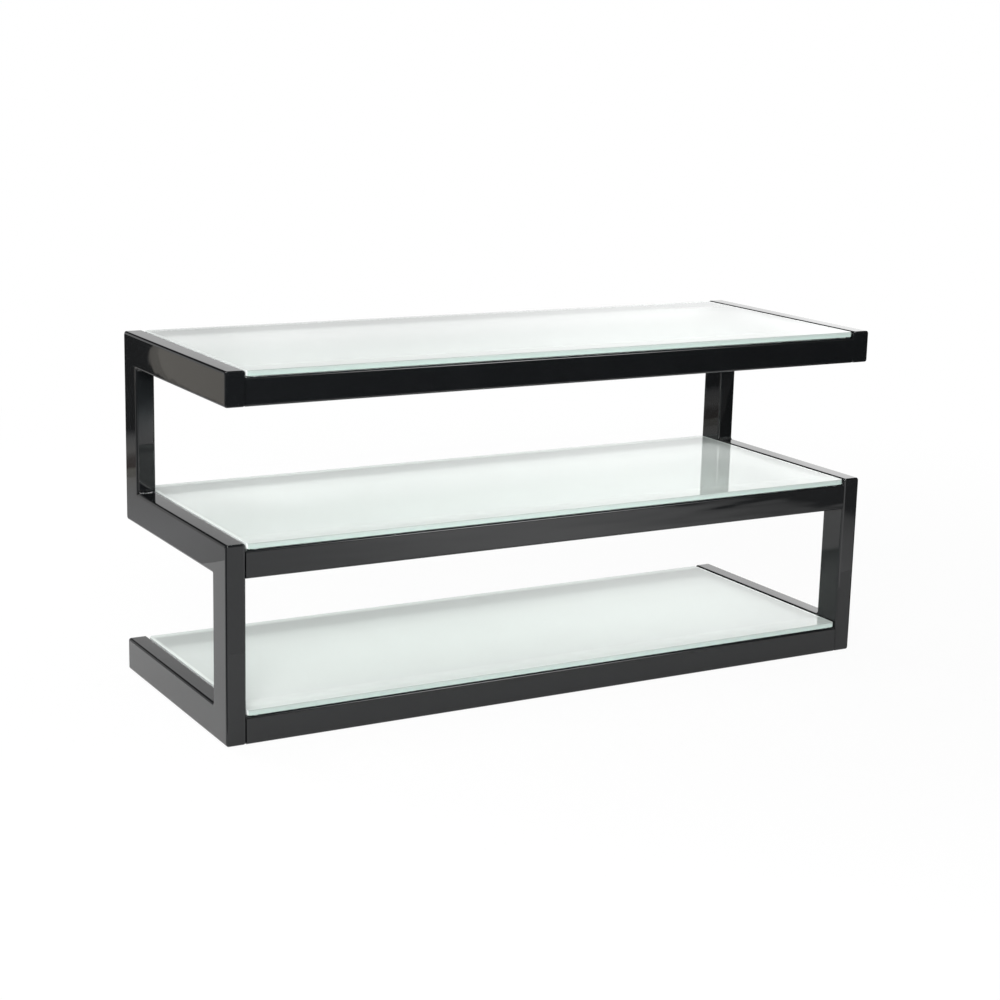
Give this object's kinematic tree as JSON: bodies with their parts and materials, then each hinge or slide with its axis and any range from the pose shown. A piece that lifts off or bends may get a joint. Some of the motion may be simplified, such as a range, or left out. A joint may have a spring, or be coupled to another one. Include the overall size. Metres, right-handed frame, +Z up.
{
  "type": "audio equipment rack",
  "caption": "Wide open equipment rack with S-shaped gloss black tube side frames, cross rails and lift-off glass shelves on clear bumpers.",
  "frame": {"origin": "on the floor under the middle of the rack", "axes": "+X along the shelves to the right seen from the front, +Y to the rear, +Z up"},
  "size_m": [1.1, 0.4, 0.532],
  "materials": {
    "black_lacquer": "gloss black lacquer",
    "zinced_steel": "zinc plated, satin",
    "shelf_glass": "toughened, polished top, frosted underside, ground edges",
    "clear_bumper": "clear soft plastic",
    "glide_plastic": "matt black"
  },
  "bodies": {
    "frame": {"left_top_arm": "black_lacquer", "left_rear_upright": "black_lacquer", "left_middle_arm": "black_lacquer", "left_front_upright": "black_lacquer", "left_bottom_arm": "black_lacquer", "left_top_arm_end_plate": "black_lacquer", "left_bottom_arm_end_plate": "black_lacquer", "left_top_rear_weld": "black_lacquer", "left_middle_rear_weld": "black_lacquer", "left_middle_front_weld": "black_lacquer", "left_bottom_front_weld": "black_lacquer", "right_top_arm": "black_lacquer", "right_rear_upright": "black_lacquer", "right_middle_arm": "black_lacquer", "right_front_upright": "black_lacquer", "right_bottom_arm": "black_lacquer", "right_top_arm_end_plate": "black_lacquer", "right_bottom_arm_end_plate": "black_lacquer", "right_top_rear_weld": "black_lacquer", "right_middle_rear_weld": "black_lacquer", "right_middle_front_weld": "black_lacquer", "right_bottom_front_weld": "black_lacquer", "bottom_front_rail": "black_lacquer", "bottom_rear_rail": "black_lacquer", "middle_front_rail": "black_lacquer", "middle_rear_rail": "black_lacquer", "top_front_rail": "black_lacquer", "top_rear_rail": "black_lacquer", "bottom_front_rail_left_screw": "zinced_steel", "bottom_front_rail_right_screw": "zinced_steel", "bottom_rear_rail_left_screw": "zinced_steel", "bottom_rear_rail_right_screw": "zinced_steel", "middle_front_rail_left_screw": "zinced_steel", "middle_front_rail_right_screw": "zinced_steel", "middle_rear_rail_left_screw": "zinced_steel", "middle_rear_rail_right_screw": "zinced_steel", "top_front_rail_left_screw": "zinced_steel", "top_front_rail_right_screw": "zinced_steel", "top_rear_rail_left_screw": "zinced_steel", "top_rear_rail_right_screw": "zinced_steel", "bottom_shelf_front_left_bumper": "clear_bumper", "bottom_shelf_front_right_bumper": "clear_bumper", "bottom_shelf_rear_left_bumper": "clear_bumper", "bottom_shelf_rear_right_bumper": "clear_bumper", "middle_shelf_front_left_bumper": "clear_bumper", "middle_shelf_front_right_bumper": "clear_bumper", "middle_shelf_rear_left_bumper": "clear_bumper", "middle_shelf_rear_right_bumper": "clear_bumper", "top_shelf_front_left_bumper": "clear_bumper", "top_shelf_front_right_bumper": "clear_bumper", "top_shelf_rear_left_bumper": "clear_bumper", "top_shelf_rear_right_bumper": "clear_bumper", "front_left_glide": "glide_plastic", "front_right_glide": "glide_plastic", "rear_left_glide": "glide_plastic", "rear_right_glide": "glide_plastic"},
    "bottom_shelf": {"bottom_glass_shelf": "shelf_glass"},
    "middle_shelf": {"middle_glass_shelf": "shelf_glass"},
    "top_shelf": {"top_glass_shelf": "shelf_glass"}
  },
  "joints": [
    {"name": "bottom_shelf_lift", "type": "slide", "parent": "frame", "child": "bottom_shelf", "axis": [0, 0, 1], "range_m": [0, 0.1]},
    {"name": "middle_shelf_lift", "type": "slide", "parent": "frame", "child": "middle_shelf", "axis": [0, 0, 1], "range_m": [0, 0.1]},
    {"name": "top_shelf_lift", "type": "slide", "parent": "frame", "child": "top_shelf", "axis": [0, 0, 1], "range_m": [0, 0.1]}
  ]
}
